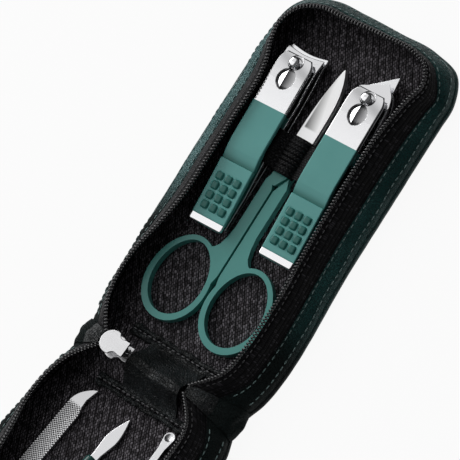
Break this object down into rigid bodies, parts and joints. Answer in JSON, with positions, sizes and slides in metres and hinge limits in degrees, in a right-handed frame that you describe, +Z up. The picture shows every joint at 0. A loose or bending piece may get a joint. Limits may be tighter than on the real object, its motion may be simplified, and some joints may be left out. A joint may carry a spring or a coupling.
{
  "type": "manicure set case",
  "caption": "Soft zip case that opens like a book, with nail clippers, scissors, nail file, pusher and ear pick held inside by elastic bands.",
  "frame": {"origin": "centre of the base half's flat back panel, on the surface it rests on", "axes": "+Z up out of the open base half; +Y along the case from the fold to the far end of the base half; X across the case"},
  "size_m": [0.0678, 0.2509, 0.0488],
  "materials": {
    "outer_leather": "grained dark green leather",
    "piping_leather": "grained dark green leather over cord",
    "inner_leather": "creased black leather",
    "lining": "woven black lining with grey threads",
    "zip_tape": "woven black tape",
    "zip_teeth": "black nylon coil",
    "elastic": "black elastic webbing",
    "board": "stiff grey board",
    "steel": "polished steel",
    "painted_steel": "satin teal paint on steel",
    "handle": "dark green",
    "slider_metal": "plain silver plating"
  },
  "bodies": {
    "base_half": {"base_back_leather": "outer_leather", "base_board": "board", "base_piping": "piping_leather", "base_side_leather": "outer_leather", "base_lining_floor": "lining", "base_lining_band": "lining", "base_zip_tape": "zip_tape", "base_zip_teeth": "zip_teeth", "spine_leather": "outer_leather", "spine_lining": "lining", "hinge_strap": "inner_leather", "gusset_right": "inner_leather", "gusset_left": "inner_leather", "elastic_band": "elastic", "elastic_sleeve": "elastic"},
    "lid_half": {"lid_back_leather": "outer_leather", "lid_board": "board", "lid_piping": "piping_leather", "lid_side_leather": "outer_leather", "lid_lining_floor": "lining", "lid_lining_band": "lining", "lid_zip_tape": "zip_tape", "lid_zip_teeth": "zip_teeth", "lid_elastic_band": "elastic"},
    "zip_end": {"zip_chain_end": "zip_teeth", "zip_end_tab": "inner_leather"},
    "slider": {"zip_slider": "slider_metal"},
    "pull_tab": {"zip_pull_tab": "slider_metal"},
    "straight_clipper_body": {"straight_clipper_lower_jaw": "steel", "straight_clipper_rivet": "steel"},
    "straight_clipper_top_jaw": {"straight_clipper_upper_jaw": "steel"},
    "straight_clipper_post": {"straight_clipper_pin": "steel"},
    "straight_clipper_handle": {"straight_clipper_lever": "painted_steel"},
    "oblique_clipper_body": {"oblique_clipper_lower_jaw": "steel", "oblique_clipper_rivet": "steel"},
    "oblique_clipper_top_jaw": {"oblique_clipper_upper_jaw": "steel"},
    "oblique_clipper_post": {"oblique_clipper_pin": "steel"},
    "oblique_clipper_handle": {"oblique_clipper_lever": "painted_steel"},
    "scissors": {"scissors_left_half": "painted_steel", "scissors_screw": "steel"},
    "scissors_right": {"scissors_right_half": "painted_steel"},
    "file": {"nail_file": "steel"},
    "pusher": {"pusher_blade": "steel", "pusher_handle": "handle"},
    "pick": {"ear_pick": "steel"}
  },
  "joints": [
    {"name": "lid_fold", "type": "hinge", "parent": "base_half", "child": "lid_half", "pos_m": [0, -0.06725, 0.0134], "axis": [1, 0, 0], "range_deg": [-163, 17], "deforming": ["spine_leather", "spine_lining", "hinge_strap", "gusset_right", "gusset_left"]},
    {"name": "zip_end_turn", "type": "hinge", "parent": "base_half", "child": "zip_end", "pos_m": [0, -0.06725, 0.0134], "axis": [1, 0, 0], "range_deg": [-81.5, 8.5]},
    {"name": "slider_travel", "type": "slide", "parent": "zip_end", "child": "slider", "axis": [-1, 0, 0], "range_m": [0, 0.0015], "deforming": ["gusset_left"]},
    {"name": "pull_tab_swing", "type": "hinge", "parent": "slider", "child": "pull_tab", "pos_m": [-0.0136, -0.06778, 0.00984], "axis": [0, 0.989, -0.1478], "range_deg": [-3, 6]},
    {"name": "straight_clipper_lift_out", "type": "slide", "parent": "base_half", "child": "straight_clipper_body", "axis": [0, 0, 1], "range_m": [0, 0.04], "deforming": ["elastic_band"]},
    {"name": "straight_clipper_squeeze", "type": "hinge", "parent": "straight_clipper_body", "child": "straight_clipper_top_jaw", "pos_m": [-0.01344, -0.00806, 0.0038], "axis": [-0.9995, -0.0314, 0], "range_deg": [0, 1.4], "stiffness_Nm_per_rad": 1},
    {"name": "straight_clipper_swivel", "type": "hinge", "parent": "straight_clipper_body", "child": "straight_clipper_post", "pos_m": [-0.01478, 0.03452, 0.00225], "axis": [0, 0, 1], "range_deg": [-3.5, 8]},
    {"name": "straight_clipper_lever_lift", "type": "hinge", "parent": "straight_clipper_post", "child": "straight_clipper_handle", "pos_m": [-0.01472, 0.03277, 0.01085], "axis": [-0.9995, -0.0314, 0], "range_deg": [0, 18]},
    {"name": "oblique_clipper_lift_out", "type": "slide", "parent": "base_half", "child": "oblique_clipper_body", "axis": [0, 0, 1], "range_m": [0, 0.04], "deforming": ["elastic_band"]},
    {"name": "oblique_clipper_squeeze", "type": "hinge", "parent": "oblique_clipper_body", "child": "oblique_clipper_top_jaw", "pos_m": [0.01321, -0.00705, 0.0038], "axis": [-0.9998, -0.0209, 0], "range_deg": [0, 1.4], "stiffness_Nm_per_rad": 1},
    {"name": "oblique_clipper_swivel", "type": "hinge", "parent": "oblique_clipper_body", "child": "oblique_clipper_post", "pos_m": [0.01231, 0.03554, 0.00225], "axis": [0, 0, 1], "range_deg": [-8, 3.5]},
    {"name": "oblique_clipper_lever_lift", "type": "hinge", "parent": "oblique_clipper_post", "child": "oblique_clipper_handle", "pos_m": [0.01235, 0.03379, 0.01085], "axis": [-0.9998, -0.0209, 0], "range_deg": [0, 18]},
    {"name": "scissors_lift_out", "type": "slide", "parent": "base_half", "child": "scissors", "axis": [0, 0, 1], "range_m": [0, 0.04], "deforming": ["elastic_band", "elastic_sleeve"]},
    {"name": "scissors_open", "type": "hinge", "parent": "scissors", "child": "scissors_right", "pos_m": [-0.0011, 0.00875, 0.00225], "axis": [0, 0, 1], "range_deg": [0, 6]},
    {"name": "file_lift_out", "type": "slide", "parent": "lid_half", "child": "file", "axis": [0, 0.2924, 0.9563], "range_m": [0, 0.03], "deforming": ["lid_elastic_band"]},
    {"name": "pusher_lift_out", "type": "slide", "parent": "lid_half", "child": "pusher", "axis": [0, 0.2924, 0.9563], "range_m": [0, 0.03], "deforming": ["lid_elastic_band"]},
    {"name": "pick_lift_out", "type": "slide", "parent": "lid_half", "child": "pick", "axis": [0, 0.2924, 0.9563], "range_m": [0, 0.03], "deforming": ["lid_elastic_band"]}
  ],
  "couplings": [
    {"joint": "zip_end_turn", "follows": "lid_fold", "ratio": 0.5}
  ]
}
